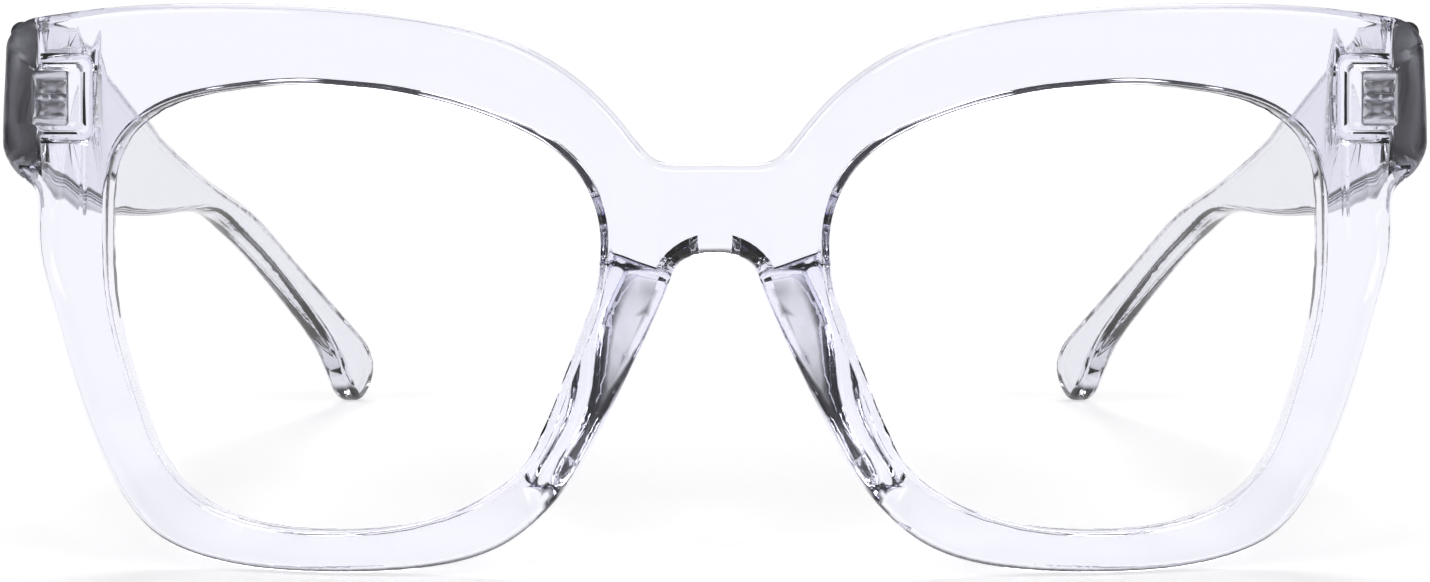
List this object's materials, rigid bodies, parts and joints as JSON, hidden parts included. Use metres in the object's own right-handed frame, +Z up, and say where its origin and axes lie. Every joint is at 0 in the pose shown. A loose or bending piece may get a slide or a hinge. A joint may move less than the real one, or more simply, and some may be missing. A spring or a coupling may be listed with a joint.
{
  "type": "blue light glasses",
  "caption": "Clear plastic full-rim glasses with cat-eye corners, flat-power screen lenses, moulded nose pads and slim temples that fold on five-knuckle hinges.",
  "frame": {"origin": "middle of the bottom of the bounding box of the open glasses, on the surface they stand on", "axes": "+X to the wearer's left, +Y backwards along the temples, +Z up; the glasses are open and stand on the rims and the temple tips"},
  "size_m": [0.148, 0.1442, 0.058],
  "materials": {
    "clear_plastic": "clear acetate, polished",
    "lens": "clear flat-power lens with a faint blue anti-reflection coating",
    "hinge_steel": "satin nickel silver"
  },
  "bodies": {
    "front": {"front_frame": "clear_plastic", "lens_left": "lens", "lens_right": "lens", "hinge_front_leaf_left": "hinge_steel", "hinge_front_leaf_right": "hinge_steel", "hinge_screw_left": "hinge_steel", "hinge_screw_right": "hinge_steel"},
    "temple_left": {"temple_left": "clear_plastic", "hinge_temple_leaf_left": "hinge_steel"},
    "temple_right": {"temple_right": "clear_plastic", "hinge_temple_leaf_right": "hinge_steel"}
  },
  "joints": [
    {"name": "temple_left_fold", "type": "hinge", "parent": "front", "child": "temple_left", "pos_m": [0.06875, -0.05411, 0.04779], "axis": [0, 0.0752, 0.9972], "range_deg": [0, 82]},
    {"name": "temple_right_fold", "type": "hinge", "parent": "front", "child": "temple_right", "pos_m": [-0.06875, -0.05411, 0.04779], "axis": [0, -0.0752, -0.9972], "range_deg": [0, 77]}
  ]
}
